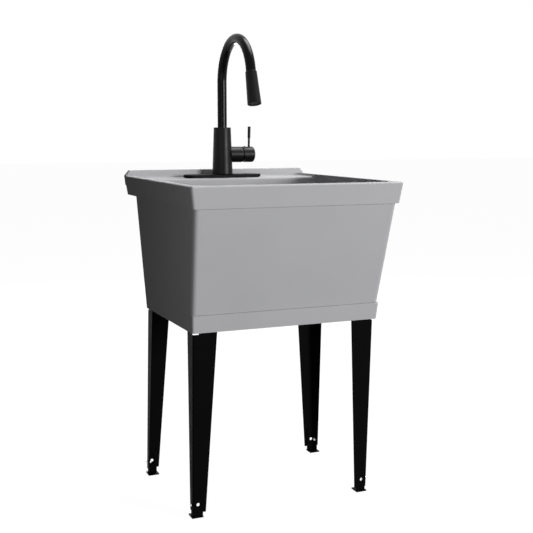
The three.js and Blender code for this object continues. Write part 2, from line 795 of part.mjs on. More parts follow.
function buildDrain() {
  const drain = new THREE.Group();
  drain.position.y = drainY;
  model.add(drain);

  const flangeTop = drainSeat + fit + flangeThick;
  const bodyFoot = flangeTop - drainBodyLength;
  const tubeInner = drainBore - drainWall;
  const cup = turned([
    [tubeInner, bodyFoot],
    [drainBore, bodyFoot],
    [drainBore, flangeTop - flangeThick],
    [flangeRadius, flangeTop - flangeThick],
    [flangeRadius, flangeTop - flangeEdge],
    [flangeRadius - flangeDish, flangeTop],
    [tubeInner + flangeDish, flangeTop - flangeEdge],
    [tubeInner, flangeTop - flangeThroat],
    [tubeInner, bodyFoot],
  ]);
  const barTop = flangeTop - strainerDepth;
  const barReach = tubeInner + drainWall / 2;
  const bars = [0, 60, 120].map((turn) => {
    return block(-barReach, barReach, -strainerBar / 2, strainerBar / 2, barTop - strainerBar, barTop).rotate([0, 0, turn]);
  });
  place('drain_flange', join(cup, ...bars), steel(), drain);

  const gasketTop = bossFoot - fit;
  place('drain_gasket', ring(drainBore + fit, gasketRadius, gasketTop - gasketThick, gasketTop), blackRubber(), drain);

  const nutTop = gasketTop - gasketThick - fit;
  const nutFoot = nutTop - locknutHeight;
  const [lugLength, lugWidth] = locknutLug;
  const lugs = Array.from({ length: locknutLugs }, (_, i) => {
    const lug = block(locknutRadius - lugLength, locknutRadius, -lugWidth / 2, lugWidth / 2, nutFoot, nutTop);
    return lug.rotate([0, 0, (i * 360) / locknutLugs]);
  });
  const nutBody = join(rod(locknutRadius - lugSink, nutFoot, nutTop), ...lugs);
  const nutBore = rod(drainBore + fit, nutFoot - past, nutTop + past);
  place('drain_locknut', cut(nutBody, nutBore), whitePlastic(), drain);

  const tailTop = bodyFoot - fit;
  const tailLip = tailTop - tailLipThick;
  const tailpiece = turned([
    [tailRadius - drainWall, tailTop - tailLength],
    [tailRadius, tailTop - tailLength],
    [tailRadius, tailLip],
    [drainBore - fit, tailLip],
    [drainBore - fit, tailTop],
    [tailRadius - drainWall, tailTop],
    [tailRadius - drainWall, tailTop - tailLength],
  ]);
  place('drain_tailpiece', tailpiece, whitePlastic(), drain);

  const slipFoot = bodyFoot - slipNutHeight + slipNutGrip;
  const slipTop = slipFoot + slipNutHeight;
  const flutes = Array.from({ length: slipFlutes }, (_, i) => {
    const flute = rod(slipFluteRadius, slipFoot - past, slipTop + past, slipNutRadius, 0, 8);
    return flute.rotate([0, 0, (i * 360) / slipFlutes]);
  });
  const slipBody = cut(
    rod(slipNutRadius, slipFoot, slipTop, 0, 0, fineRound),
    rod(drainBore + fit, tailLip - fit, slipTop + past),
    rod(tailRadius + fit, slipFoot - past, slipTop),
    ...flutes,
  );
  place('tailpiece_nut', slipBody, whitePlastic(), drain);

  const seat = flangeTop - flangeThroat;
  const plugRadiusTop = tubeInner - running;
  const neckRadius = stopperKnob - stopperNeck / 2;
  const stopper = turned([
    [0, seat - stopperHeight],
    [plugRadiusTop - stopperTaper, seat - stopperHeight],
    [plugRadiusTop, seat],
    [plugRadiusTop + stopperTaper, seat + stopperBrim],
    [stopperKnob + stopperTaper, seat + stopperBrim],
    [neckRadius, seat + stopperBrim + stopperNeck],
    [neckRadius, seat + stopperRise - stopperKnob],
    [stopperKnob, seat + stopperRise - stopperNeck],
    [neckRadius, seat + stopperRise - flangeEdge],
    [0, seat + stopperRise],
  ]);
  place('drain_stopper', stopper, blackRubber(), drain);
}

// ---- tap: mounting ------------------------------------------------------------------------

const tap = new THREE.Group();
tap.position.set(0, tapY, 0);
model.add(tap);

function plateShape(half, depth) {
  const shape = new THREE.Shape();
  const end = depth / 2;
  shape.moveTo(-half + end, -end);
  shape.lineTo(half - end, -end);
  shape.absarc(half - end, 0, end, -Math.PI / 2, Math.PI / 2, false);
  shape.lineTo(-half + end, end);
  shape.absarc(-half + end, 0, end, Math.PI / 2, (3 * Math.PI) / 2, false);
  return shape;
}

function buildMounting() {
  const gasketFoot = deckHeight + fit;
  const pad = new THREE.ExtrudeGeometry(plateShape(plateHalf - gasketInset, plateDepth - 2 * gasketInset), {
    depth: plateGasket - fit,
    bevelEnabled: false,
    curveSegments: 10,
  });
  const hole = rod(shankRadius + fit, deckHeight - past, tapFoot + past);
  place('deck_plate_gasket', cut(solid(pad.translate(0, 0, gasketFoot)), hole), blackRubber(), tap);

  const plateFoot = deckHeight + plateGasket + fit;
  const plate = new THREE.ExtrudeGeometry(plateShape(plateHalf - plateBevel, plateDepth - 2 * plateBevel), {
    depth: plateThick - plateBevel,
    bevelThickness: plateBevel,
    bevelSize: plateBevel,
    bevelSegments: 3,
    curveSegments: 10,
  });
  const below = block(-plateHalf, plateHalf, -plateDepth, plateDepth, plateFoot - 2 * plateBevel, plateFoot);
  place('deck_plate', cut(solid(plate.translate(0, 0, plateFoot)), below, hole), blackCoat(), tap);

  const shankTop = tapFoot + shankInsert;
  const shankFoot = tapFoot - shankLength;
  const webFoot = shankFoot + shankWebRise;
  const web = rod((shankBore + shankRadius) / 2, webFoot, webFoot + shankWeb);
  const ways = [-inletSpread, inletSpread].map((x) => {
    return rod(inletRadius + fit, shankFoot, shankTop, x, 0, smallRound);
  });
  const hoseWay = rod(hoseWayRadius, shankFoot, shankTop, 0, hoseWayRadius + hoseWaySet - shankBore, smallRound);
  const shank = join(ring(shankBore, shankRadius, shankFoot, shankTop), web);
  place('mounting_shank', cut(shank, ...ways, hoseWay), brass(), tap);

  const clampTop = deckHeight - deckThick - fit;
  const washer = ring(shankRadius + fit, clampRadius, clampTop - clampThick, clampTop);
  place('mounting_washer', washer, steel(), tap);

  const nutTop = clampTop - clampThick - fit;
  const nut = cut(
    rod(clampNutRadius, nutTop - clampNutHeight, nutTop, 0, 0, 6),
    rod(shankRadius + fit, nutTop - clampNutHeight - past, nutTop + past),
  );
  place('mounting_nut', nut, brass(), tap);

  for (const [name, side] of [['cold_inlet', 1], ['hot_inlet', -1]]) {
    const nipple = ring(inletBore, inletRadius, shankFoot - inletDrop, shankFoot + inletInsert, smallRound);
    const collarTop = webFoot - fit;
    const collar = ring(inletBore, inletRadius + inletCollarProud, collarTop - inletCollar, collarTop, smallRound);
    place(name, join(nipple, collar), brass(), tap).position.x = side * inletSpread;
  }
}

// ---- tap: body and valve ------------------------------------------------------------------

// Turns a piece made about Z so that its axis runs along +X at the valve's height.
function alongValve(body) {
  return body.rotate([0, 90, 0]).translate([0, 0, valveZ]);
}

function buildBody() {
  const cone = turned([
    [0, tapFoot],
    [bodyFootRadius - bodyEdge, tapFoot],
    [bodyFootRadius, tapFoot + bodyEdge],
    [bodyTopRadius, tapTop - bodyEdge],
    [bodyTopRadius - bodyEdge, tapTop],
    [0, tapTop],
  ], fineRound);
  const boss = alongValve(turned([
    [0, 0],
    [valveRadius, 0],
    [valveRadius, valveEnd - valveEdge],
    [valveRadius - valveEdge, valveEnd],
    [0, valveEnd],
  ], fineRound));
  const spoutSeat = rod(tubeRadius + running, tapTop - tubeInsert - fit, tapTop + past);
  const waterway = rod(bodyBore, tapFoot, tapTop);
  const shankSeat = rod(shankRadius + fit, tapFoot - past, tapFoot + shankInsert + fit);
  const chamber = alongValve(rod(cartridgeRadius + fit, cartridgeStart - fit, valveEnd + past));
  place('tap_body', cut(join(cone, boss), spoutSeat, waterway, shankSeat, chamber), blackCoat(), tap);
}

function buildValve() {
  const housing = turned([
    [0, cartridgeStart],
    [cartridgeRadius, cartridgeStart],
    [cartridgeRadius, cartridgeEnd],
    [cartridgeRadius - cartridgeWall, cartridgeEnd],
    [cartridgeRadius - cartridgeWall, cartridgeStart + cartridgeBase],
    [0, cartridgeStart + cartridgeBase],
  ]);
  place('valve_cartridge', alongValve(housing), whitePlastic(), tap);

  const carrierRadius = cartridgeRadius - cartridgeWall - running;
  const carrierStart = cartridgeStart + cartridgeBase + running;
  const carrierEnd = cartridgeEnd + carrierProud;
  const carrier = turned([
    [0, carrierStart],
    [carrierRadius, carrierStart],
    [carrierRadius, cartridgeEnd - carrierProud],
    [carrierRadius - carrierBevel, carrierEnd],
    [stemBall + 1.6, carrierEnd],
    [stemBall + fit, carrierEnd - ballDepth / 3],
    [stemBall + fit, carrierEnd - ballDepth],
    [0, carrierEnd - ballDepth],
  ]);
  place('valve_carrier', alongValve(carrier), whitePlastic(), tap);

  const bonnetStart = cartridgeEnd + fit;
  const bonnet = turned([
    [bonnetRadius - bonnetWall, bonnetStart + carrierProud + fit],
    [bonnetRadius - cartridgeWall, bonnetStart],
    [bonnetRadius, bonnetStart],
    [bonnetRadius, bonnetEnd - bonnetDome],
    [bonnetRadius - bonnetDome, bonnetEnd],
    [bonnetRadius - bonnetWall, bonnetEnd],
    [bonnetRadius - bonnetWall, bonnetStart + carrierProud + fit],
  ]);
  place('valve_bonnet', alongValve(bonnet), blackCoat(), tap);
}

// ---- tap: handle --------------------------------------------------------------------------

function buildHandle() {
  const stem = turned([
    [0, pivot - stemBall * 0.9],
    [stemBall * 0.6, pivot - stemBall * 0.75],
    [stemBall, pivot - stemBall * 0.3],
    [stemBall, pivot + stemBall * 0.3],
    [stemRadius, pivot + stemBall * 0.9],
    [stemRadius, stemEnd],
    [0, stemEnd],
  ], smallRound);
  place('valve_stem', alongValve(stem), brass(), tap);

  const fillet = quarter(hubFillet).map(({ draw, rise }) => [valveRadius - draw, hubEnd - hubFillet + rise]);
  const hub = turned([
    [0, hubStart],
    [valveRadius - valveEdge, hubStart],
    [valveRadius, hubStart + valveEdge],
    ...fillet,
    [0, hubEnd],
  ], fineRound);
  const cavity = rod(hubCavity, hubStart - past, hubStart + hubCavityDepth);
  const socket = rod(stemRadius + fit, hubStart, stemEnd + fit);
  const reliefSize = 2 * valveRadius;
  const relief = block(-reliefSize, 0, -reliefSize, reliefSize, -reliefSize, 0)
    .rotate([0, -tiltMax - tiltSpare, 0])
    .translate([hubStart, 0, valveZ]);
  const lean = (tool) => tool.rotate([0, leverLean, 0]).translate([leverX, 0, valveZ]);
  const leverHole = lean(rod(leverRadius + fit, leverSeat - fit, valveRadius + past, 0, 0, smallRound));
  const plugHole = rod(plugRadius + fit, hubCavity - past, valveRadius + past, 0, 0, smallRound);
  const hollowed = alongValve(cut(hub, cavity, socket));
  const drilled = cut(hollowed, relief, leverHole, plugHole.translate([plugX, 0, valveZ]));
  place('handle_hub', drilled, blackCoat(), tap);

  const lever = turned([
    [0, leverSeat],
    [leverRadius, leverSeat],
    [leverRadius, leverStep],
    [leverGrip, leverStep + leverTaper],
    [leverGrip, leverTop - handleEdge],
    [leverGrip - handleEdge, leverTop],
    [0, leverTop],
  ], smallRound);
  place('handle_lever', lean(lever), blackCoat(), tap);

  const plug = turned([
    [0, hubCavity + fit],
    [plugRadius, hubCavity + fit],
    [plugRadius, valveRadius + plugRise - handleEdge],
    [plugRadius - handleEdge, valveRadius + plugRise],
    [0, valveRadius + plugRise],
  ], smallRound);
  place('handle_plug', plug.translate([plugX, 0, valveZ]), blackCoat(), tap);
}

// ---- tap: spout and spray -----------------------------------------------------------------

const tilt = deg(archTilt);
const archY = -archRadius;
const archEnd = new THREE.Vector3(0, archY - archRadius * Math.cos(tilt), archCentre + archRadius * Math.sin(tilt));
const sprayAxis = new THREE.Vector3(0, -Math.sin(tilt), -Math.cos(tilt));
const tubeEnd = archEnd.clone().addScaledVector(sprayAxis, archTail);

function spoutPath(from) {
  const path = new THREE.CurvePath();
  path.add(new THREE.LineCurve3(new THREE.Vector3(0, 0, from), new THREE.Vector3(0, 0, archCentre)));
  class Arch extends THREE.Curve {
    getPoint(t, target = new THREE.Vector3()) {
      const turn = t * (Math.PI - tilt);
      return target.set(0, archY + archRadius * Math.cos(turn), archCentre + archRadius * Math.sin(turn));
    }
  }
  path.add(new Arch());
  path.add(new THREE.LineCurve3(archEnd, tubeEnd));
  return path;
}

function circle(radius, shape = new THREE.Shape()) {
  shape.absarc(0, 0, radius, 0, 2 * Math.PI, false);
  return shape;
}

// Stands a piece made about Z at the spout's end, with its +Z back up into the spout.
function atSpray(body) {
  return body.rotate([-archTilt, 0, 0]).translate(tubeEnd.toArray());
}

function buildSpout() {
  const section = circle(tubeRadius);
  section.holes.push(circle(tubeRadius - tubeWall, new THREE.Path()));
  const tube = new THREE.ExtrudeGeometry(section, {
    steps: spoutSteps,
    curveSegments: 10,
    extrudePath: spoutPath(tapTop - tubeInsert),
  });
  place('spout_tube', solid(tube), blackCoat(), tap);

  const inner = tubeRadius - tubeWall - 2 * fit;
  const dock = ring(inner - dockWall, inner, dockSet, dockLength);
  place('spray_dock', atSpray(dock), whitePlastic(), tap);
}

function buildSpray() {
  const length = sprayLength;
  const inner = (z) => lerp(sprayTopRadius, sprayEndRadius, z / length) - sprayWall;
  const neckRadius = tubeRadius - tubeWall - 2 * fit - dockWall - running;
  const mouth = neckRadius - neckStep;
  const top = -running;
  const capFoot = top - sprayCap;
  const ceiling = capFoot - sprayCapSlope;
  const shell = turned([
    [inner(-ceiling), ceiling],
    [inner(length), -length],
    [sprayEndRadius - sprayEdge, -length],
    [sprayEndRadius, -length + sprayEdge],
    [sprayTopRadius, top - sprayEdge],
    [sprayTopRadius - sprayEdge, top],
    [mouth, top],
    [mouth, capFoot],
    [inner(-ceiling), ceiling],
  ], fineRound);
  place('spray_shell', atSpray(shell), blackCoat(), tap);

  const neckBore = mouth - fit - neckWall;
  const neck = turned([
    [neckBore, top - neckDepth],
    [mouth - fit, top - neckDepth],
    [mouth - fit, top + dockSet],
    [neckRadius, top + dockSet + neckStep / 2],
    [neckRadius, neckLength],
    [mouth, neckLength + neckStep / 2],
    [neckBore, neckLength + neckStep / 2],
    [neckBore, top - neckDepth],
  ]);
  place('spray_neck', atSpray(neck), whitePlastic(), tap);

  const faceRadius = inner(length - sprayReach) - fit;
  const faceFoot = nozzleRecess - length;
  const faceTop = sprayReach - length;
  const face = cut(
    rod(faceRadius, faceFoot, faceTop, 0, 0, fineRound),
    rod(faceRadius - nozzleWall, faceFoot + nozzleThick, faceTop + past),
  );
  const jets = Array.from({ length: nozzleRings }, (_, k) => k + 1).flatMap((k) => {
    return Array.from({ length: 6 * k }, (_, i) => {
      const radius = (faceRadius - nozzleMargin) * (k / nozzleRings);
      const jet = rod(jetRadius, faceFoot - past, faceFoot + past, radius, 0, 6);
      return jet.rotate([0, 0, (i * 60) / k]);
    });
  });
  place('spray_face', atSpray(cut(face, ...jets)), blackRubber(), tap);
}

// ---- the whole ----------------------------------------------------------------------------

buildTub();
buildDrain();
for (const leg of legs) {
  buildLeg(leg);
  buildFoot(leg);
  buildFootFasteners(leg);
}
buildMounting();
buildBody();
buildValve();
buildHandle();
buildSpout();
buildSpray();

export default model;
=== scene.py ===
"""Utility laundry sink: finishes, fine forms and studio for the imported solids.

Metres, +Z up. The front faces -Y, and the origin is on the floor below the middle of the rim.
"""

import json
import math

import bmesh
import bpy
from mathutils import Matrix, Vector

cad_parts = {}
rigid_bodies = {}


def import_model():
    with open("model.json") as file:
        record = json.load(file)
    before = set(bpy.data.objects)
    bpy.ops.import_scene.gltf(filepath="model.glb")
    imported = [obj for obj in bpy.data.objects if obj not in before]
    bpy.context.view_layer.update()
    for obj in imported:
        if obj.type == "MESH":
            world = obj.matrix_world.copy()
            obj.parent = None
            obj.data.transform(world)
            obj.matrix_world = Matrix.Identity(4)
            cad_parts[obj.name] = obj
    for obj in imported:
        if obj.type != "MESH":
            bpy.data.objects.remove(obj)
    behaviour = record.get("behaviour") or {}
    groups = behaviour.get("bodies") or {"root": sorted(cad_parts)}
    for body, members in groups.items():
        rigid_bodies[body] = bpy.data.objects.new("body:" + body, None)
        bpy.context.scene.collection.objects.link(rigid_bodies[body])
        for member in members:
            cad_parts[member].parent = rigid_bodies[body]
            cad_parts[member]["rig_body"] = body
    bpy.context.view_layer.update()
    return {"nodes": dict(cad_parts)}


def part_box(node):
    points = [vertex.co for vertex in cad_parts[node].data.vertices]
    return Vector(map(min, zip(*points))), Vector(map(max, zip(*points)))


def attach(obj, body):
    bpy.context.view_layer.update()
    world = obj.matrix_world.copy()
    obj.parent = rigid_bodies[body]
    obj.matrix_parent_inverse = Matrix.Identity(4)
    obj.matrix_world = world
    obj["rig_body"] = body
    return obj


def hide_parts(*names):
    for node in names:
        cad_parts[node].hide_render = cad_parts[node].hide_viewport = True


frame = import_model()


# ---- tub --------------------------------------------------------------------------------------
# One compression moulding in grey polypropylene: a tapered basin, a rim that turns down into a
# skirt, and a rear deck with a raised strip. The mould is lightly sparked, so the skin is satin.

MM = 0.001


def linear(hex_colour):
    """An sRGB hex colour as linear RGBA."""
    channels = [int(hex_colour[i : i + 2], 16) / 255 for i in (1, 3, 5)]
    curve = [c / 12.92 if c <= 0.04045 else ((c + 0.055) / 1.055) ** 2.4 for c in channels]
    return (*curve, 1.0)


def add_node(tree, kind, settings=None, **links):
    """Adds a node, sets its sockets or properties, and links its inputs to other outputs."""
    node = tree.nodes.new(kind)
    for key, value in (settings or {}).items():
        if key in node.inputs:
            node.inputs[key].default_value = value
        else:
            setattr(node, key, value)
    for key, source in links.items():
        tree.links.new(source, node.inputs[key.replace("_", " ")])
    return node


def new_finish(name, **constants):
    """A material with its constants set: tree, surface shader and object coordinates."""
    material = bpy.data.materials.new(name)
    material.use_nodes = True
    tree = material.node_tree
    surface = tree.nodes["Principled BSDF"]
    for key, value in constants.items():
        surface.inputs[key.replace("_", " ")].default_value = value
    return material, tree, surface, add_node(tree, "ShaderNodeTexCoord").outputs["Object"]


def vary(tree, socket, pattern, low, high):
    """Drives a socket from the middle of a pattern's range."""
    spread = {"From Min": 0.3, "From Max": 0.7, "To Min": low, "To Max": high}
    ranged = add_node(tree, "ShaderNodeMapRange", spread, Value=pattern)
    tree.links.new(ranged.outputs["Result"], socket)


def uneven_sheen(tree, surface, pattern, roughness, less, more):
    """Lets a pattern lower and raise the roughness a little."""
    vary(tree, surface.inputs["Roughness"], pattern, roughness - less, roughness + more)


def raise_grain(tree, surface, pattern, depth_mm, strength):
    """Raises a pattern as fine relief."""
    relief = {"Strength": strength, "Distance": depth_mm * MM}
    bump = add_node(tree, "ShaderNodeBump", relief, Height=pattern)
    tree.links.new(bump.outputs["Normal"], surface.inputs["Normal"])


def moulded_plastic(name, light, dark, roughness, grain_mm, grain_depth_mm, specular):
    """Moulded polypropylene: satin, with a sparked grain, faint flow marks and an uneven sheen."""
    flow_mm = 160
    material, tree, surface, place = new_finish(name, IOR=1.49, Specular_IOR_Level=specular)
    settings = {"Scale": 1 / (flow_mm * MM), "Detail": 3.0}
    flow = add_node(tree, "ShaderNodeTexNoise", settings, Vector=place)
    settings = {"Color1": linear(dark), "Color2": linear(light)}
    tint = add_node(tree, "ShaderNodeMixRGB", settings)
    vary(tree, tint.inputs["Fac"], flow.outputs["Fac"], 0, 1)
    tree.links.new(tint.outputs["Color"], surface.inputs["Base Color"])
    uneven_sheen(tree, surface, flow.outputs["Fac"], roughness, less=0.03, more=0.03)
    settings = {"Scale": 1 / (grain_mm * MM), "feature": "SMOOTH_F1", "Smoothness": 1.0}
    sparks = add_node(tree, "ShaderNodeTexVoronoi", settings, Vector=place)
    raise_grain(tree, surface, sparks.outputs["Distance"], grain_depth_mm, strength=0.4)
    return material


def settle(name, shell, material, body, replaced, crease=35, edge_mm=0.0):
    """Turns a form into a piece: smooth faces, eased sharp edges, its finish and its body."""
    for face in shell.faces:
        face.smooth = True
    for edge in shell.edges:
        edge.smooth = edge.calc_face_angle(math.pi) < math.radians(crease)
    mesh = bpy.data.meshes.new(name)
    shell.to_mesh(mesh)
    shell.free()
    mesh.materials.append(material)
    piece = bpy.data.objects.new(name, mesh)
    bpy.context.scene.collection.objects.link(piece)
    if edge_mm:
        easing = piece.modifiers.new("eased_edges", "BEVEL")
        easing.width = edge_mm * MM
        easing.segments = 3
        easing.limit_method = "ANGLE"
        easing.angle_limit = math.radians(50)
        easing.miter_outer = "MITER_ARC"
    shading = piece.modifiers.new("even_shading", "WEIGHTED_NORMAL")
    shading.keep_sharp = True
    shading.weight = 60
    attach(piece, body)
    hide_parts(replaced)


def dress(node, material, crease=35, edge_mm=0.0):
    """Stands for a CAD node: the same solid, merged, with smooth faces and eased edges.

    Faces with many corners are split into triangles, because the easing can fold them.
    """
    source = frame["nodes"][node]
    shell = bmesh.new()
    shell.from_mesh(source.data)
    bmesh.ops.remove_doubles(shell, verts=shell.verts, dist=0.01 * MM)
    flat = math.radians(0.6)
    bmesh.ops.dissolve_limit(shell, angle_limit=flat, verts=shell.verts, edges=shell.edges)
    wide = [face for face in shell.faces if len(face.verts) > 4]
    bmesh.ops.triangulate(shell, faces=wide)
    settle(node + "_dressed", shell, material, source["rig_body"], node, crease, edge_mm)


# The room is white in every reflection, so the specular levels of the grey plastic and of the
# blacks lie far below the usual 0.5. Otherwise their shaded sides would look washed out.
tub_grey = moulded_plastic(
    "moulded_grey_polypropylene",
    light="#a6a6a8",
    dark="#a3a3a5",
    roughness=0.55,
    grain_mm=1.1,
    grain_depth_mm=0.03,
    specular=0.002,
)
dress("tub", tub_grey, crease=30, edge_mm=0.8)


# ---- legs and levelling feet ------------------------------------------------------------------
# Steel sheet folded to a tapered angle, punched, and powder coated black. Each leg pushes into a
# socket under the tub's corner, and each foot slides inside its leg. The coat rounds every edge.


def powder_coat(name, colour, roughness, peel_mm):
    """Baked powder on steel: a deep black with a fine orange peel."""
    patch_mm = 30
    constants = {"Base_Color": linear(colour), "IOR": 1.5, "Specular_IOR_Level": 0.012}
    material, tree, surface, place = new_finish(name, **constants)
    settings = {"Scale": 1 / (peel_mm * MM), "Detail": 2.0}
    peel = add_node(tree, "ShaderNodeTexNoise", settings, Vector=place)
    raise_grain(tree, surface, peel.outputs["Fac"], depth_mm=0.05, strength=0.35)
    settings = {"Scale": 1 / (patch_mm * MM), "Detail": 4.0}
    patches = add_node(tree, "ShaderNodeTexNoise", settings, Vector=place)
    uneven_sheen(tree, surface, patches.outputs["Fac"], roughness, less=0.05, more=0.06)
    return material


leg_black = powder_coat("black_powder_coated_steel", "#090809", roughness=0.42, peel_mm=1.4)
corners = ["front_left", "front_right", "rear_left", "rear_right"]
for corner in corners:
    dress("leg_" + corner, leg_black, edge_mm=0.4)
    dress("foot_" + corner, leg_black, edge_mm=0.4)


# ---- foot bolts and nuts ----------------------------------------------------------------------
# Cold-headed steel, bright zinc plated. One bolt passes through the side flange of each leg, and
# its nut inside clamps the foot at its height.


def bare_metal(name, colour, roughness, grain_mm, along):
    """Plain metal with fine working marks, drawn out along the way it was worked."""
    material, tree, surface, place = new_finish(name, Base_Color=linear(colour), Metallic=1.0)
    stretch = add_node(tree, "ShaderNodeMapping", {"Scale": along}, Vector=place)
    settings = {"Scale": 1 / (grain_mm * MM), "Detail": 5.0}
    marks = add_node(tree, "ShaderNodeTexNoise", settings, Vector=stretch.outputs["Vector"])
    uneven_sheen(tree, surface, marks.outputs["Fac"], roughness, less=0.08, more=0.1)
    raise_grain(tree, surface, marks.outputs["Fac"], depth_mm=0.02, strength=0.2)
    return material


zinc = bare_metal("bright_zinc_plate", "#d3d6da", roughness=0.3, grain_mm=2.0, along=(1, 1, 1))
for corner in corners:
    dress("foot_bolt_" + corner, zinc, edge_mm=0.25)
    dress("foot_nut_" + corner, zinc, edge_mm=0.25)


# ---- drain ------------------------------------------------------------------------------------
# A pressed stainless flange with cross bars, clamped to the floor by a rubber gasket and a
# plastic locknut. A tailpiece hangs from it in a slip nut, and a rubber stopper lifts out.


def soft_rubber(name, colour, roughness):
    """Moulded black rubber: dull, with a bloom that makes it slightly uneven."""
    bloom_mm = 12
    material, tree, surface, place = new_finish(name, Base_Color=linear(colour), IOR=1.52)
    settings = {"Scale": 1 / (bloom_mm * MM), "Detail": 4.0}
    bloom = add_node(tree, "ShaderNodeTexNoise", settings, Vector=place)
    uneven_sheen(tree, surface, bloom.outputs["Fac"], roughness, less=0.08, more=0.08)
    raise_grain(tree, surface, bloom.outputs["Fac"], depth_mm=0.03, strength=0.2)
    return material


def spun_metal(name, colour, roughness, ring_scale, middle):
    """Metal turned about an upright axis: rings round it, and uneven wiping marks.

    Real rings are too fine to show, so these are drawn coarser. The wave texture draws rings
    2 pi / (20 * ring_scale) metres apart: about 10 mm at 31.25.
    """
    wipe_mm = 9
    material, tree, surface, place = new_finish(name, Base_Color=linear(colour), Metallic=1.0)
    settings = {"Location": [-at for at in middle]}
    centred = add_node(tree, "ShaderNodeMapping", settings, Vector=place)
    settings = {
        "wave_type": "RINGS",
        "rings_direction": "Z",
        "Scale": ring_scale,
        "Distortion": 1.5,
    }
    rings = add_node(tree, "ShaderNodeTexWave", settings, Vector=centred.outputs["Vector"])
    raise_grain(tree, surface, rings.outputs["Fac"], depth_mm=0.03, strength=0.3)
    settings = {"Scale": 1 / (wipe_mm * MM), "Detail": 4.0}
    wiped = add_node(tree, "ShaderNodeTexNoise", settings, Vector=place)
    uneven_sheen(tree, surface, wiped.outputs["Fac"], roughness, less=0.06, more=0.08)
    return material


flange_low, flange_high = (Vector(corner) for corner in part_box("drain_flange"))
flange_middle = (flange_low + flange_high) / 2
stainless = spun_metal(
    "spun_stainless_steel", "#9fa1a3", roughness=0.3, ring_scale=31.25, middle=flange_middle
)
rubber = soft_rubber("moulded_black_rubber", "#161617", roughness=0.7)
white = moulded_plastic(
    "moulded_white_polypropylene",
    light="#e6e5e0",
    dark="#dfded9",
    roughness=0.45,
    grain_mm=0.9,
    grain_depth_mm=0.02,
    specular=0.4,
)
dress("drain_flange", stainless, edge_mm=0.2)
for part in ["drain_gasket", "drain_stopper"]:
    dress(part, rubber, edge_mm=0.4)
for part in ["drain_locknut", "drain_tailpiece", "tailpiece_nut"]:
    dress(part, white, edge_mm=0.5)


# ---- tap: deck plate and fixings --------------------------------------------------------------
# A cast plate covers the deck's spare holes on a rubber pad. Below the deck, a turned brass
# shank, washer and nut hold the tap down, with the two supply inlets through the shank.


def sprayed_black(name, colour, roughness, specular):
    """Baked black lacquer on metal: smooth and thin, with a broken, soft sheen."""
    mist_mm = 0.8
    cloud_mm = 18
    constants = {"Base_Color": linear(colour), "IOR": 1.5, "Specular_IOR_Level": specular}
    material, tree, surface, place = new_finish(name, **constants)
    settings = {"Scale": 1 / (mist_mm * MM), "Detail": 2.0}
    mist = add_node(tree, "ShaderNodeTexNoise", settings, Vector=place)
    raise_grain(tree, surface, mist.outputs["Fac"], depth_mm=0.02, strength=0.1)
    settings = {"Scale": 1 / (cloud_mm * MM), "Detail": 3.0}
    cloud = add_node(tree, "ShaderNodeTexNoise", settings, Vector=place)
    uneven_sheen(tree, surface, cloud.outputs["Fac"], roughness, less=0.03, more=0.04)
    return material


tap_black = sprayed_black("matt_black_lacquer_on_brass", "#060506", roughness=0.4, specular=0.13)
brass = bare_metal("turned_brass", "#b3975a", roughness=0.3, grain_mm=1.5, along=(1, 1, 8))
plate_black = sprayed_black(
    "matt_black_lacquer_on_cast_plate", "#090809", roughness=0.5, specular=0.06
)
dress("deck_plate", plate_black, edge_mm=0.3)
dress("deck_plate_gasket", rubber, edge_mm=0.3)
dress("mounting_washer", stainless, edge_mm=0.3)
for part in ["mounting_shank", "mounting_nut", "cold_inlet", "hot_inlet"]:
    dress(part, brass, edge_mm=0.2)


# ---- tap: body, valve and handle --------------------------------------------------------------
# The body is cast brass, turned and lacquered, with a ceramic cartridge in its side boss. The
# hub turns and tilts on the cartridge's stem, and a thin lever screws into the hub.


def turned(profile, stand, steps=96):
    """A closed form turned about Z from points of (radius, height) in mm, then stood in place."""
    form = bmesh.new()
    points = [form.verts.new((radius * MM, 0, height * MM)) for radius, height in profile]
    line = [form.edges.new(pair) for pair in zip(points, points[1:])]
    turn = {"axis": (0, 0, 1), "cent": (0, 0, 0), "angle": 2 * math.pi, "steps": steps}
    bmesh.ops.spin(form, geom=points + line, use_merge=True, **turn)
    bmesh.ops.remove_doubles(form, verts=form.verts, dist=0.001 * MM)
    bmesh.ops.recalc_face_normals(form, faces=form.faces)
    bmesh.ops.transform(form, matrix=stand, verts=form.verts)
    return form


# The tap's sizes are in mm, but tap_y is in metres.
tap_foot, tap_top = (corner.z / MM for corner in map(Vector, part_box("tap_body")))
washer_front, washer_rear = (corner.y for corner in map(Vector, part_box("mounting_washer")))
tap_y = (washer_front + washer_rear) / 2

body_foot_radius = 30.5
body_top_radius = 25.5
shank_socket_radius = 16.8
shank_socket_depth = 12.3
spout_socket_radius = 14.45
spout_socket_depth = 34.3
waterway_radius = 12
cone_profile = [
    (shank_socket_radius, tap_foot),
    (body_foot_radius, tap_foot),
    (body_top_radius, tap_top),
    (spout_socket_radius, tap_top),
    (spout_socket_radius, tap_top - spout_socket_depth),
    (waterway_radius, tap_top - spout_socket_depth),
    (waterway_radius, tap_foot + shank_socket_depth),
    (shank_socket_radius, tap_foot + shank_socket_depth),
    (shank_socket_radius, tap_foot),
]
on_deck = Matrix.Translation((0, tap_y, 0))
cone = turned(cone_profile, on_deck)
settle("tap_body_cone", cone, tap_black, "frame", "tap_body", edge_mm=1.2)

